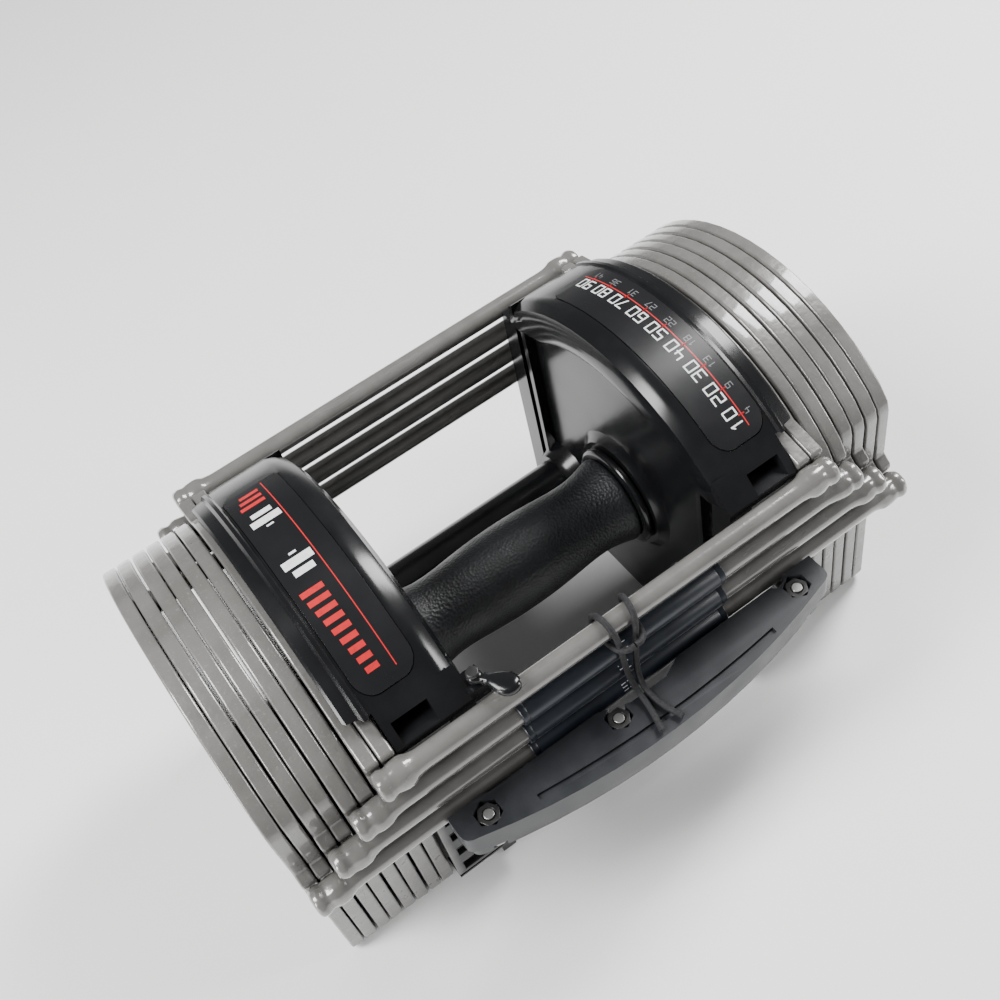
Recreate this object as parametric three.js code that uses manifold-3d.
// Adjustable dumbbell: a handle inside four nested box weights, and a two-prong selector pin.
// Millimetres. X runs along the handle, the pin slides out along -Y, +Z is up.
// The origin is the middle of the whole footprint on the floor, with the pin in place.

import * as THREE from 'three';
import { mergeVertices } from 'three/addons/utils/BufferGeometryUtils.js';
import Module from 'manifold-3d';

const wasm = await Module();
wasm.setup();

// ---- Driving dimensions -------------------------------------------------
const HANDLE_Y = 13.25;           // handle axis behind the middle of the footprint
const HALF_LENGTH = 152.5;        // outer face of the outermost plate
const PLATE = 6.3;                // one weight plate
const THIN_GAP = 0.5;             // between the two plates of a pair
const WIDE_GAP = 0.9;             // between one weight and the next
const PAIR_PITCH = 2 * PLATE + THIN_GAP + WIDE_GAP;
const WEIGHTS = [20, 30, 40, 50];
const FIRST_PLATE = HALF_LENGTH - 4 * PAIR_PITCH + WIDE_GAP;

const ARCH_RADIUS = 100;          // common arched top of plates and housings
const ARCH_TOP = 174.5;
const ARCH_CENTRE = ARCH_TOP - ARCH_RADIUS;
const PLATE_SHOULDER = 76.5;      // half width above the ears
const PLATE_SKIRT = 70.5;         // half width below the ears
const PLATE_CORNER = 7;

const RAIL_Y = 86;                // front and back rails
const RAIL_R = 4.6;
const RAIL_PITCH = 15.2;          // also the pitch of the pin slots
const TOP_RAIL_Z = 140.2;
const WELD_R = 6.5;               // weld lump where a rail meets its plates
const SLEEVE_R = 5.5;             // number sleeve on the three lower front rails
const SLEEVE_HALF = 50;

const WALL_IN = 66;               // housing: inner wall, measured from the middle
const WALL_OUT = 73;
const HOUSING_OUT = 96.8;
const HOUSING_Y = 80;
const BLOCK_BACK = 69;            // the slot blocks run from here to HOUSING_Y
const BLOCK_LOW = 19;
const BLOCK_IN = 62;
const REAR_SHOULDER_Y = 72;       // the rear end of the cap is set back to here
const CAP_IN = 60.5;
const CAP_OUT = 107.5;
const CAP_TOP_R = 106;            // all cap radii are about the arch centre
const CAP_RIDGE_R = 106.9;
const CAP_INNER_R = 94;
const CAP_UNDER_R = 101.4;

const BOSS_IN = 62.6;             // face of the boss at the grip's end
const FOOT_IN = 57.5;             // mouth of the flared foot round a column

const GRIP_Z = 81;
const GRIP_HALF = 58;
const BAR_R = 11.5;
const COLUMN_Y = 50;
const COLUMN_Z = 45;
const COLUMN_R = 13;

const SLOTS = 9;
const PIN_SLOT = 4;               // the pin stands in the fifth slot, "50"
const PRONG_X = 85;
const PRONG_W = 14;
const PRONG_T = 4;
const PRONG_Z = TOP_RAIL_Z - 3 * RAIL_PITCH - RAIL_R - 1.9 - PRONG_T / 2;
const SLOT_Z = TOP_RAIL_Z - 3 * RAIL_PITCH - RAIL_R - 2.95;
const SLOT_W = 16;
const SLOT_H = 7;

const PIN_TOP = 101;
const PIN_BOTTOM = 79;
const PIN_SPLIT = 89.85;
const CORD_R = 1.3;
const GAP = 0.3;                  // clearance between touching pieces

// ---- Materials ----------------------------------------------------------
const colours = {
  enamel: [0x8f8b85, 0.35, 0.2],
  sleeve: [0x2b3038, 0.45, 0.0],
  gloss: [0x111214, 0.15, 0.0],
  satin: [0x2d2f33, 0.45, 0.0],
  rubber: [0x1d1e20, 0.85, 0.0],
  steel: [0x9a9a98, 0.35, 0.9],
  chrome: [0xc8c8c8, 0.12, 1.0],
  cord: [0x161616, 0.8, 0.0],
};

function material(name) {
  const [color, roughness, metalness] = colours[name];
  return new THREE.MeshStandardMaterial({ color, roughness, metalness });
}

// ---- Solids and booleans ------------------------------------------------
function bare(geometry) {
  const copy = geometry.clone();
  for (const key of Object.keys(copy.attributes)) {
    if (key !== 'position') copy.deleteAttribute(key);
  }
  return mergeVertices(copy, 1e-4);
}

function solid(geometry) {
  const merged = bare(geometry);
  return new wasm.Manifold(new wasm.Mesh({
    numProp: 3,
    vertProperties: new Float32Array(merged.attributes.position.array),
    triVerts: new Uint32Array(merged.index.array),
  }));
}

function geometryOf(manifold) {
  const mesh = manifold.getMesh();
  const geometry = new THREE.BufferGeometry();
  const points = new Float32Array(mesh.vertProperties);
  geometry.setAttribute('position', new THREE.BufferAttribute(points, 3));
  geometry.setIndex(new THREE.BufferAttribute(new Uint32Array(mesh.triVerts), 1));
  return geometry;
}

function boxBetween(low, high) {
  const size = high.map((v, i) => v - low[i]);
  const geometry = new THREE.BoxGeometry(...size);
  return geometry.translate(...high.map((v, i) => (v + low[i]) / 2));
}

function extruded(shape, depth, curveSegments) {
  return new THREE.ExtrudeGeometry(shape, { depth, bevelEnabled: false, curveSegments });
}

function polygon(points, Kind = THREE.Shape) {
  return new Kind(points.map(([a, b]) => new THREE.Vector2(a, b)));
}

// Extrudes an outline drawn in (y, z) along X, from x0 to x1.
function alongX(shape, x0, x1, curveSegments = 12) {
  const geometry = extruded(shape, x1 - x0, curveSegments);
  const turn = new THREE.Matrix4().set(0, 0, 1, x0, 1, 0, 0, 0, 0, 1, 0, 0, 0, 0, 0, 1);
  return geometry.applyMatrix4(turn);
}

// Extrudes an outline drawn in (x, y) along Z.
function alongZ(shape, z0, z1, curveSegments = 8) {
  return extruded(shape, z1 - z0, curveSegments).translate(0, 0, z0);
}

// Turns a profile of [distance along X, radius] about a line along X at (y, z).
function turnedX(profile, y, z, segments = 20) {
  const points = profile.map(([x, r]) => new THREE.Vector2(r, x));
  const geometry = new THREE.LatheGeometry(points, segments);
  return geometry.rotateZ(-Math.PI / 2).translate(0, y, z);
}

// A vertical round piece: profile of [radius, z] about (x, y).
function turnedZ(profile, x, y, segments = 16) {
  const points = profile.map(([r, z]) => new THREE.Vector2(r, z));
  const geometry = new THREE.LatheGeometry(points, segments);
  return geometry.rotateX(Math.PI / 2).translate(x, y, 0);
}

function ringShape(outer, inner, centreZ, lowZ) {
  const outerAngle = Math.asin((lowZ - centreZ) / outer);
  const innerAngle = Math.asin((lowZ - centreZ) / inner);
  const shape = new THREE.Shape();
  shape.absarc(0, centreZ, outer, outerAngle, Math.PI - outerAngle, false);
  shape.absarc(0, centreZ, inner, Math.PI - innerAngle, innerAngle, true);
  shape.closePath();
  return shape;
}

const group = new THREE.Group();

// Every piece is drawn about the handle's own axis and set down behind the pin handle.
function add(name, geometry, colour) {
  const mesh = new THREE.Mesh(geometry.translate(0, HANDLE_Y, 0), material(colour));
  mesh.name = name;
  group.add(mesh);
  return mesh;
}

// ---- Outlines -----------------------------------------------------------
// Half outline of a plate as [half width, height], bottom to top, with its ear at railZ.
function plateSide(railZ) {
  const side = [];
  for (let i = 0; i <= 3; i += 1) {
    const a = (Math.PI / 2) * (i / 3);
    side.push([PLATE_SKIRT - PLATE_CORNER + PLATE_CORNER * Math.sin(a), PLATE_CORNER * (1 - Math.cos(a))]);
  }
  side.push([PLATE_SKIRT, railZ - 38], [73, railZ - 31], [77, railZ - 24], [79.4, railZ - 16]);
  side.push([80.8, railZ - 7]);
  const notch = WELD_R + GAP;
  for (const dz of [-4.4, -3, 0, 3, 4.4]) {
    side.push([RAIL_Y - Math.sqrt(notch ** 2 - dz ** 2), railZ + dz]);
  }
  side.push([80.6, railZ + 7]);
  const from = railZ + 11;
  const steps = 9;
  const startAngle = Math.asin(Math.min(1, (Math.max(from, 138.9) - ARCH_CENTRE) / ARCH_RADIUS));
  if (from < 134) side.push([PLATE_SHOULDER, from], [PLATE_SHOULDER, 134]);
  for (let i = 0; i <= steps; i += 1) {
    const a = startAngle + (Math.PI / 2 - startAngle) * (i / steps);
    const pull = i === 0 && from < 134 ? 1.2 : 0;
    side.push([ARCH_RADIUS * Math.cos(a) - pull, ARCH_CENTRE + ARCH_RADIUS * Math.sin(a)]);
  }
  return side;
}

function plateShape(railZ) {
  const side = plateSide(railZ);
  const mirrored = side.slice(0, -1).reverse().map(([y, z]) => [-y, z]);
  return polygon([...side, ...mirrored]);
}

// ---- Nested weights -----------------------------------------------------
const RAIL_SIDES = 16;

function railProfile(inner, outer) {
  return [
    [-outer, 0], [-outer, 3.5], [-outer + 3, WELD_R], [-inner - 1.5, WELD_R], [-inner + 5, RAIL_R],
    [inner - 5, RAIL_R], [inner + 1.5, WELD_R], [outer - 3, WELD_R], [outer, 3.5], [outer, 0],
  ];
}

function sleeveProfile() {
  const bore = RAIL_R + GAP;
  return [
    [-SLEEVE_HALF, bore], [-SLEEVE_HALF, SLEEVE_R],
    [SLEEVE_HALF, SLEEVE_R], [SLEEVE_HALF, bore], [-SLEEVE_HALF, bore],
  ];
}

WEIGHTS.forEach((pounds, index) => {
  const railZ = TOP_RAIL_Z - index * RAIL_PITCH;
  const inner = FIRST_PLATE + index * PAIR_PITCH;
  const shape = plateShape(railZ);
  const starts = { inner, outer: inner + PLATE + THIN_GAP };
  for (const [layer, x0] of Object.entries(starts)) {
    add(`weight_${pounds}_right_${layer}_plate`, alongX(shape, x0, x0 + PLATE), 'enamel');
    add(`weight_${pounds}_left_${layer}_plate`, alongX(shape, -x0 - PLATE, -x0), 'enamel');
  }
  const outer = inner + 2 * PLATE + THIN_GAP;
  for (const [place, y] of [['front', -RAIL_Y], ['back', RAIL_Y]]) {
    const rail = turnedX(railProfile(inner, outer), y, railZ, RAIL_SIDES);
    add(`weight_${pounds}_${place}_rail`, rail, 'enamel');
  }
  if (index > 0) {
    const sleeve = turnedX(sleeveProfile(), -RAIL_Y, railZ, RAIL_SIDES);
    add(`weight_${pounds}_number_sleeve`, sleeve, 'sleeve');
  }
});

// ---- Handle housings ----------------------------------------------------
const ARC_STEPS = 14;             // segments in each arched surface
const CAP_LOW = 144;              // where the arched roof runs out into the slot blocks
const FLANGE_LOW = 156;           // lower ends of the outer flange over the plates
const COMB_LOW = 20.4;
const COMB_HIGH = slotHeight(0) - RAIL_PITCH / 2;
const COMB_IN = 73.6;
const COMB_THICK = 3;
const LABEL_IN = 71.5;
const LABEL_OUT = 97;
const LABEL_FRONT = -64.3;
const LABEL_BACK = 48.3;
const LABEL_CORNER = 7.5;

function slotHeight(index) {
  return SLOT_Z + (PIN_SLOT - index) * RAIL_PITCH;
}

function wallShape() {
  const half = HOUSING_Y - 6;
  const angle = Math.acos(half / ARCH_RADIUS);
  const shape = new THREE.Shape();
  shape.moveTo(-half, 0);
  shape.lineTo(half, 0);
  shape.absarc(0, ARCH_CENTRE, ARCH_RADIUS, angle, Math.PI - angle, false);
  shape.closePath();
  return shape;
}

// A box given for the back of the housing, or its mirror image at the front.
function sideBox(side, low, high) {
  const y = [side * low[1], side * high[1]].sort((a, b) => a - b);
  return solid(boxBetween([low[0], y[0], low[2]], [high[0], y[1], high[2]]));
}

function arched(outer, inner, x0, x1, lowZ = CAP_LOW) {
  return solid(alongX(ringShape(outer, inner, ARCH_CENTRE, lowZ), x0, x1, ARC_STEPS));
}

function rodAlongX(radius, y, z, sides) {
  const rod = new THREE.CylinderGeometry(radius, radius, 60, sides).rotateZ(Math.PI / 2);
  return solid(rod.translate(WALL_OUT, y, z));
}

function wholeRing(profile) {
  return solid(turnedX(profile, 0, ARCH_CENTRE, 60));
}

// The arched roof: a soft inner edge, a flat band for the label, a ridge, and a flange over the plates.
function capSolid() {
  const roof = wholeRing([
    [CAP_IN + 3, CAP_INNER_R - 8], [CAP_IN, CAP_INNER_R], [CAP_IN, 98], [CAP_IN + 2.2, 102.6],
    [CAP_IN + 6, 105.3], [CAP_IN + 9.5, CAP_TOP_R], [HOUSING_OUT, CAP_TOP_R], [HOUSING_OUT, CAP_INNER_R],
    [WALL_IN + 1, CAP_INNER_R], [WALL_IN + 1, CAP_INNER_R - 8], [CAP_IN + 3, CAP_INNER_R - 8],
  ]);
  const flange = wholeRing([
    [HOUSING_OUT - 1, CAP_UNDER_R], [HOUSING_OUT - 1, CAP_TOP_R], [98, CAP_TOP_R], [99, CAP_RIDGE_R],
    [100.6, CAP_RIDGE_R], [101.8, 105.4], [CAP_OUT - 1, 104.8], [CAP_OUT, 104], [CAP_OUT, CAP_UNDER_R],
    [HOUSING_OUT - 1, CAP_UNDER_R],
  ]);
  const above = (low) => solid(boxBetween([0, -HOUSING_Y, low], [CAP_OUT + 5, REAR_SHOULDER_Y, 200]));
  return roof.intersect(above(CAP_LOW)).add(flange.intersect(above(FLANGE_LOW)));
}

// The slotted block behind a steel comb. Its top follows the roof; the rear one is set back there.
function blockSolid(side) {
  const block = sideBox(side, [BLOCK_IN, BLOCK_BACK, BLOCK_LOW], [HOUSING_OUT, HOUSING_Y, 160]);
  const round = wholeRing([[0, 0], [0, CAP_TOP_R], [HOUSING_OUT + 1, CAP_TOP_R], [HOUSING_OUT + 1, 0]]);
  const whole = block.intersect(round);
  if (side < 0) return whole;
  return whole.subtract(sideBox(side, [0, REAR_SHOULDER_Y, CAP_LOW - 1.5], [200, HOUSING_Y + 1, 200]));
}

function blockCuts(side) {
  const far = HOUSING_Y + 1;
  const combWindow = sideBox(
    side, [COMB_IN - GAP, BLOCK_BACK - 1, COMB_LOW - GAP], [HOUSING_OUT + 1, far, COMB_HIGH + GAP]);
  const z = slotHeight(0);
  const topSlot = sideBox(
    side, [PRONG_X - SLOT_W / 2, 50, z - SLOT_H / 2], [PRONG_X + SLOT_W / 2, far + 14, z + SLOT_H / 2]);
  return combWindow.add(topSlot);
}

// A band of the cap's arch, with rounded corners seen from above; grow widens it all round.
function labelBand(outer, inner, grow) {
  const x0 = LABEL_IN - grow;
  const x1 = LABEL_OUT + grow;
  const y0 = LABEL_FRONT - grow;
  const y1 = LABEL_BACK + grow;
  const r = LABEL_CORNER + grow;
  const quarter = Math.PI / 2;
  const outline = new THREE.Shape();
  outline.absarc(x1 - r, y1 - r, r, 0, quarter, false);
  outline.absarc(x0 + r, y1 - r, r, quarter, 2 * quarter, false);
  outline.absarc(x0 + r, y0 + r, r, 2 * quarter, 3 * quarter, false);
  outline.absarc(x1 - r, y0 + r, r, 3 * quarter, 4 * quarter, false);
  outline.closePath();
  return arched(outer, inner, x0 - 1, x1 + 1).intersect(solid(alongZ(outline, CAP_LOW, 200, 5)));
}

function gripBoss() {
  const profile = [
    [BOSS_IN, 0], [BOSS_IN, 28], [BOSS_IN + 2, 30], [WALL_IN + 1, 34], [WALL_OUT - 1, 34], [WALL_OUT - 1, 0],
  ];
  return solid(turnedX(profile, 0, GRIP_Z, 24));
}

function columnFoot(y) {
  const profile = [
    [FOOT_IN, 0], [FOOT_IN, 16.4], [FOOT_IN + 3, 17],
    [WALL_IN + 1, 21], [WALL_OUT - 1, 21], [WALL_OUT - 1, 0],
  ];
  return solid(turnedX(profile, y, COLUMN_Z, 20));
}

// One moulded end housing, drawn at the right end (positive X).
function housingSolid() {
  let body = solid(alongX(wallShape(), WALL_IN, WALL_OUT, ARC_STEPS)).add(gripBoss());
  for (const side of [-1, 1]) {
    body = body.add(blockSolid(side));
    body = body.add(columnFoot(side * COLUMN_Y));
    body = body.add(sideBox(side, [BLOCK_IN - 1, 60, 30], [WALL_IN + 1, 63, 152]));
  }
  body = body.add(capSolid()).subtract(blockCuts(-1)).subtract(blockCuts(1));
  body = body.subtract(rodAlongX(BAR_R + GAP, 0, GRIP_Z, 20));
  for (const side of [-1, 1]) {
    body = body.subtract(rodAlongX(COLUMN_R + GAP, side * COLUMN_Y, COLUMN_Z, 20));
  }
  return body.subtract(labelBand(CAP_TOP_R + 5, CAP_TOP_R - 0.9, GAP));
}

const LEVER_X = -58.2;
const LEVER_Y = -76;
const LUG_LOW = 140;
const LUG_TOP = 147.4;
const LEVER_LOW = 147.8;
const LEVER_TOP = 152.6;
const LEVER_PIN_R = 1.6;

function leverLug() {
  const low = [-BLOCK_IN - 1, LEVER_Y - 3.8, LUG_LOW];
  const lug = solid(boxBetween(low, [LEVER_X + 3.6, LEVER_Y + 6, LUG_TOP]));
  const bore = new THREE.CylinderGeometry(LEVER_PIN_R + GAP, LEVER_PIN_R + GAP, 30, 12);
  bore.rotateX(Math.PI / 2).translate(LEVER_X, LEVER_Y, LUG_TOP);
  return lug.subtract(solid(bore));
}

const rightEnd = housingSolid();
const leftEnd = rightEnd.mirror([1, 0, 0]).add(leverLug());
add('handle_housing_right', geometryOf(rightEnd), 'gloss');
add('handle_housing_left', geometryOf(leftEnd), 'gloss');

// ---- Steel slot combs ---------------------------------------------------
function rectangle(a0, b0, a1, b1) {
  return [[a0, b0], [a1, b0], [a1, b1], [a0, b1]];
}

// Drawn standing in the plane y = 0, from x0 to x1, with its slots about slotX.
function combGeometry(x0, x1, slotX) {
  const shape = polygon(rectangle(x0, COMB_LOW, x1, COMB_HIGH));
  for (let i = 1; i < SLOTS; i += 1) {
    const z = slotHeight(i);
    const slot = rectangle(slotX - SLOT_W / 2, z - SLOT_H / 2, slotX + SLOT_W / 2, z + SLOT_H / 2);
    shape.holes.push(polygon(slot, THREE.Path));
  }
  return extruded(shape, COMB_THICK, 1).rotateX(Math.PI / 2);
}

for (const [place, y] of [['front', -HOUSING_Y + COMB_THICK + 0.4], ['back', HOUSING_Y - 0.4]]) {
  const right = combGeometry(COMB_IN, HOUSING_OUT, PRONG_X);
  const left = combGeometry(-HOUSING_OUT, -COMB_IN, -PRONG_X);
  add(`slot_comb_right_${place}`, right.translate(0, y, 0), 'steel');
  add(`slot_comb_left_${place}`, left.translate(0, y, 0), 'steel');
}

// ---- Label plates on the caps -------------------------------------------
const label = labelBand(CAP_TOP_R + 0.3, CAP_TOP_R - 0.6, 0);
add('label_plate_right', geometryOf(label), 'gloss');
add('label_plate_left', geometryOf(label.mirror([1, 0, 0])), 'gloss');

// ---- Grip, bar, columns -------------------------------------------------
const sleeveBore = BAR_R + GAP;
const gripProfile = [
  [-GRIP_HALF, sleeveBore], [-GRIP_HALF, 21.4], [-GRIP_HALF + 3, 22], [-GRIP_HALF + 7, 21], [-38, 18.7],
  [-22, 19.9], [0, 20.9], [22, 19.9], [38, 18.7],
  [GRIP_HALF - 7, 21], [GRIP_HALF - 3, 22], [GRIP_HALF, 21.4], [GRIP_HALF, sleeveBore],
  [-GRIP_HALF, sleeveBore],
];
add('grip_sleeve', turnedX(gripProfile, 0, GRIP_Z), 'rubber');

const barHalf = WALL_OUT + 1;
const barProfile = [[-barHalf, 0], [-barHalf, BAR_R], [barHalf, BAR_R], [barHalf, 0]];
add('grip_bar', turnedX(barProfile, 0, GRIP_Z), 'steel');

function collarProfile(x0, x1) {
  const middle = (x0 + x1) / 2;
  return [[x0, sleeveBore], [x0, 24.5], [middle, 25.6], [x1, 24.5], [x1, sleeveBore], [x0, sleeveBore]];
}

const collarNear = GRIP_HALF + GAP;
const collarFar = BOSS_IN - GAP;
add('grip_collar_right', turnedX(collarProfile(collarNear, collarFar), 0, GRIP_Z), 'gloss');
add('grip_collar_left', turnedX(collarProfile(-collarFar, -collarNear), 0, GRIP_Z), 'gloss');

const columnBore = COLUMN_R - 1.8;
const rodR = columnBore - GAP;
const rodHalf = WALL_OUT - 6;
const tubeProfile = [
  [-WALL_OUT, columnBore], [-WALL_OUT, COLUMN_R], [WALL_OUT, COLUMN_R], [WALL_OUT, columnBore],
  [-WALL_OUT, columnBore],
];
const rodProfile = [
  [-rodHalf, 0], [-rodHalf, rodR - 1], [-rodHalf + 1, rodR], [rodHalf - 1, rodR], [rodHalf, rodR - 1],
  [rodHalf, 0],
];
for (const [place, y] of [['front', -COLUMN_Y], ['back', COLUMN_Y]]) {
  add(`${place}_column`, turnedX(tubeProfile, y, COLUMN_Z), 'gloss');
  add(`${place}_adder_rod`, turnedX(rodProfile, y, COLUMN_Z), 'chrome');
}

// ---- Latch lever --------------------------------------------------------
function leverShape() {
  const bulb = new THREE.Vector2(8.4, -11.2);
  const angle = Math.atan2(bulb.y, bulb.x);
  const quarter = Math.PI / 2;
  const shape = new THREE.Shape();
  shape.absarc(0, 0, 3.3, angle + quarter + 0.2, angle - quarter - 0.2, false);
  shape.absarc(bulb.x, bulb.y, 5, angle - quarter + 0.1, angle + quarter - 0.1, false);
  shape.closePath();
  const hole = new THREE.Path();
  hole.absarc(0, 0, LEVER_PIN_R + GAP, 0, 2 * Math.PI, true);
  shape.holes.push(hole);
  return shape;
}

const lever = alongZ(leverShape(), LEVER_LOW, LEVER_TOP, 10).translate(LEVER_X, LEVER_Y, 0);
add('latch_lever', lever, 'rubber');
const leverPin = [
  [0, LUG_LOW + 1], [LEVER_PIN_R, LUG_LOW + 1], [LEVER_PIN_R, LEVER_TOP + 0.4],
  [3, LEVER_TOP + 0.4], [2.4, LEVER_TOP + 1.6], [0, LEVER_TOP + 1.6],
];
add('latch_lever_pin', turnedZ(leverPin, LEVER_X, LEVER_Y, 12), 'steel');

// ---- Selector pin -------------------------------------------------------
const PIN_HALF = 93;
const PIN_BACK = -92.6;
const PIN_FRONT_END = -105;       // front edge at the ends of the handle
const PIN_FRONT_SAG = 14;         // and how far its middle bulges beyond that
const BOLTS = [-79, -15, 79];
const BOLT_Y = -100.6;
const BOLT_SIDES = 12;
const SHANK_R = 2.4;
const NUT_R = 5.2;

// Outline of the pin handle from above: a bowed front edge, and a back edge with a notch and a recess.
function pinShape(inset) {
  const half = PIN_HALF - inset;
  const sag = PIN_FRONT_SAG - inset * 0.5;
  const end = PIN_FRONT_END + inset;
  const corner = 6;
  const radius = (half ** 2 + sag ** 2) / (2 * sag);
  const centreY = end - sag + radius;
  const edge = Math.asin((half - corner) / radius);
  const first = centreY - radius * Math.cos(edge);
  const steps = 12;
  const shape = new THREE.Shape();
  shape.moveTo(-half, PIN_BACK);
  shape.lineTo(-half, end + 3);
  shape.quadraticCurveTo(-half, first + 0.8, -half + corner, first);
  for (let i = 1; i <= steps; i += 1) {
    const a = -edge + 2 * edge * (i / steps);
    shape.lineTo(radius * Math.sin(a), centreY - radius * Math.cos(a));
  }
  shape.quadraticCurveTo(half, first + 0.8, half, end + 3);
  shape.lineTo(half, PIN_BACK);
  shape.lineTo(78, PIN_BACK);
  shape.quadraticCurveTo(77, PIN_BACK - 4, 72, PIN_BACK - 3.4);
  shape.lineTo(70, PIN_BACK - 1.6);
  shape.lineTo(20, PIN_BACK - 1.6);
  shape.lineTo(11, PIN_BACK - 6);
  shape.lineTo(-7, PIN_BACK - 6);
  shape.lineTo(-21, PIN_BACK - 1);
  shape.lineTo(-74, PIN_BACK - 1);
  shape.lineTo(-77, PIN_BACK);
  shape.closePath();
  return shape;
}

function grooveShape() {
  const y = -109.5;
  const shape = new THREE.Shape();
  shape.moveTo(-60, y + 3);
  shape.quadraticCurveTo(0, y - 5.4, 58, y + 0.6);
  shape.lineTo(58, y - 2);
  shape.quadraticCurveTo(0, y - 8, -60, y + 0.4);
  shape.closePath();
  return shape;
}

function withoutHoles(body, low, high, radius, sides) {
  return BOLTS.reduce((rest, x) => {
    const cutter = new THREE.CylinderGeometry(radius, radius, high - low, sides).rotateX(Math.PI / 2);
    return rest.subtract(solid(cutter.translate(x, BOLT_Y, (low + high) / 2)));
  }, body);
}

function prongBox(sign, grow) {
  const x0 = sign * PRONG_X - PRONG_W / 2 - grow;
  const low = [x0, -108 - grow, PRONG_Z - PRONG_T / 2 - grow];
  return solid(boxBetween(low, [x0 + PRONG_W + 2 * grow, 92, PRONG_Z + PRONG_T / 2 + grow]));
}

function prongSolid(sign) {
  let prong = withoutHoles(prongBox(sign, 0), PIN_BOTTOM, PIN_TOP, SHANK_R + GAP, BOLT_SIDES);
  for (const corner of [-1, 1]) {
    const x = sign * PRONG_X + corner * (PRONG_W / 2);
    const cut = new THREE.BoxGeometry(7, 7, 20).rotateZ(Math.PI / 4).translate(x, 92, PRONG_Z);
    prong = prong.subtract(solid(cut));
  }
  return prong;
}

function pinTopSolid() {
  let body = solid(alongZ(pinShape(0), PIN_SPLIT, PIN_TOP, 4));
  body = withoutHoles(body, PIN_SPLIT - 1, PIN_TOP + 1, SHANK_R + GAP, BOLT_SIDES);
  body = withoutHoles(body, PIN_TOP - 4.5, PIN_TOP + 1, NUT_R + 0.8, 6);
  return body.subtract(solid(alongZ(grooveShape(), PIN_TOP - 1.5, PIN_TOP + 1, 8)));
}

function pinBottomSolid() {
  let body = solid(alongZ(pinShape(0.8), PIN_SPLIT - 4.6, PIN_SPLIT - GAP, 4));
  body = body.add(solid(alongZ(pinShape(2.2), PIN_BOTTOM, PIN_SPLIT - 4, 4)));
  body = withoutHoles(body, PIN_BOTTOM - 1, PIN_SPLIT + 1, SHANK_R + GAP, BOLT_SIDES);
  body = withoutHoles(body, PIN_BOTTOM - 1, PIN_BOTTOM + 2.8, NUT_R + 0.8, 16);
  return body.subtract(prongBox(-1, GAP)).subtract(prongBox(1, GAP));
}

add('pin_handle_top', geometryOf(pinTopSolid()), 'satin');
add('pin_handle_bottom', geometryOf(pinBottomSolid()), 'satin');
add('pin_prong_right', geometryOf(prongSolid(1)), 'steel');
add('pin_prong_left', geometryOf(prongSolid(-1)), 'steel');

const headR = NUT_R - 0.4;
const boltProfile = [
  [0, PIN_BOTTOM + 0.3], [headR, PIN_BOTTOM + 0.3], [headR, PIN_BOTTOM + 2.5],
  [SHANK_R, PIN_BOTTOM + 2.5], [SHANK_R, PIN_TOP - 0.9], [0, PIN_TOP - 0.9],
];

function nutShape() {
  const corners = [0, 1, 2, 3, 4, 5].map((k) => (k * Math.PI) / 3);
  const shape = polygon(corners.map((a) => [NUT_R * Math.cos(a), NUT_R * Math.sin(a)]));
  const hole = new THREE.Path();
  hole.absarc(0, 0, SHANK_R + GAP, 0, 2 * Math.PI, true);
  shape.holes.push(hole);
  return shape;
}

BOLTS.forEach((x, i) => {
  add(`pin_bolt_${i + 1}`, turnedZ(boltProfile, x, BOLT_Y, BOLT_SIDES), 'steel');
  const nut = alongZ(nutShape(), PIN_TOP - 4.1, PIN_TOP - 1.3, 6);
  add(`pin_nut_${i + 1}`, nut.translate(x, BOLT_Y, 0), 'steel');
});

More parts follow.
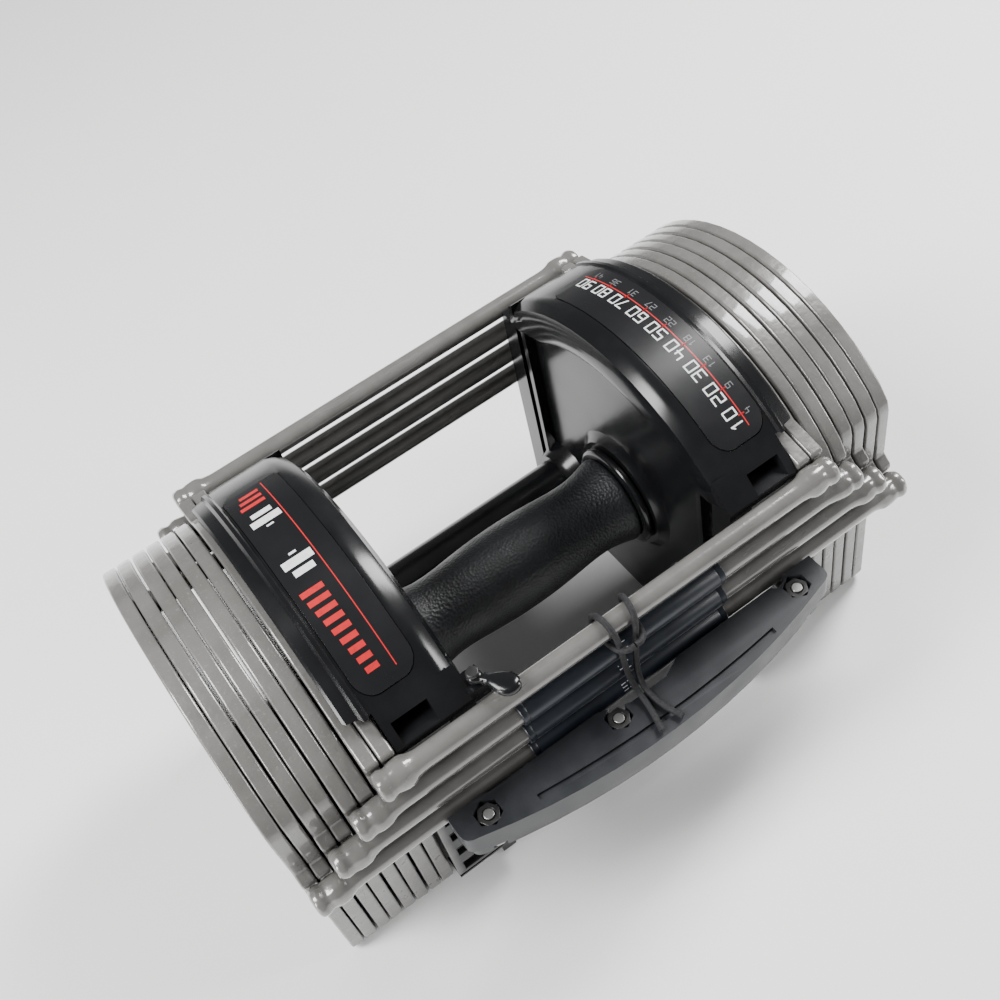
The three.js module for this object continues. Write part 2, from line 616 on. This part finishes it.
// ---- Elastic retaining cord ---------------------------------------------
// Hitched round the top front rail; its two tails lie over the pin handle and end in moulded tips.
const CORD_SIDES = 8;
const CORD_STEPS = 34;
const TIP_LENGTH = 11;
const leftTail = [
  [0, -96.4, 134.6], [-3.4, -96.0, 134.2], [-6.2, -92.4, 133.4], [-7.2, -86.0, 133.7], [-7.3, -81.4, 135.6],
  [-7.2, -79.4, 140.2], [-6.8, -81.4, 144.8], [-6.3, -86.0, 146.8], [-5.8, -90.6, 144.8],
  [-5.2, -92.6, 140.2],
  [-4.4, -93.1, 130.0], [-3.9, -93.4, 120.0], [-3.4, -94.6, 111.0], [-3.0, -98.2, 104.8],
  [-3.2, -104.0, 102.8], [-4.4, -110.5, 102.7], [-6.2, -117.2, 103.2],
];
const rightTail = [
  [0.35, -96.4, 134.6], [3.7, -96.0, 134.2], [6.5, -92.4, 133.4], [7.5, -86.0, 133.7], [7.6, -81.4, 135.6],
  [7.4, -79.4, 140.2], [6.8, -81.4, 144.8], [6.0, -86.0, 146.8], [5.1, -90.6, 144.8], [4.0, -92.6, 140.2],
  [2.6, -93.1, 130.0], [1.6, -93.4, 120.0], [0.6, -94.6, 111.0], [0.2, -98.2, 104.8],
  [0.6, -104.0, 102.8], [1.8, -110.5, 102.7], [4.2, -117.2, 103.2],
];

function cordGeometry(points) {
  const route = points.map((p) => new THREE.Vector3(...p));
  const extrudePath = new THREE.CatmullRomCurve3(route, false, 'centripetal');
  const section = polygon(Array.from({ length: CORD_SIDES }, (unused, k) => {
    const a = (k * 2 * Math.PI) / CORD_SIDES;
    return [CORD_R * Math.cos(a), CORD_R * Math.sin(a)];
  }));
  return new THREE.ExtrudeGeometry(section, { steps: CORD_STEPS, extrudePath, bevelEnabled: false });
}

function tipGeometry(points) {
  const end = new THREE.Vector3(...points[points.length - 1]);
  const before = new THREE.Vector3(...points[points.length - 2]);
  const way = end.clone().sub(before).normalize();
  const tipR = CORD_R + 0.7;
  const profile = [
    [0, 0], [CORD_R, 0], [tipR, 2], [tipR, TIP_LENGTH - 2], [CORD_R + 0.1, TIP_LENGTH - 0.5], [0, TIP_LENGTH],
  ];
  const tip = new THREE.LatheGeometry(profile.map(([a, b]) => new THREE.Vector2(a, b)), CORD_SIDES);
  tip.applyQuaternion(new THREE.Quaternion().setFromUnitVectors(new THREE.Vector3(0, 1, 0), way));
  return tip.translate(...end.addScaledVector(way, GAP).toArray());
}

for (const [side, tail] of [['left', leftTail], ['right', rightTail]]) {
  add(`elastic_cord_${side}`, cordGeometry(tail), 'cord');
  add(`elastic_tip_${side}`, tipGeometry(tail), 'rubber');
}

export default group;
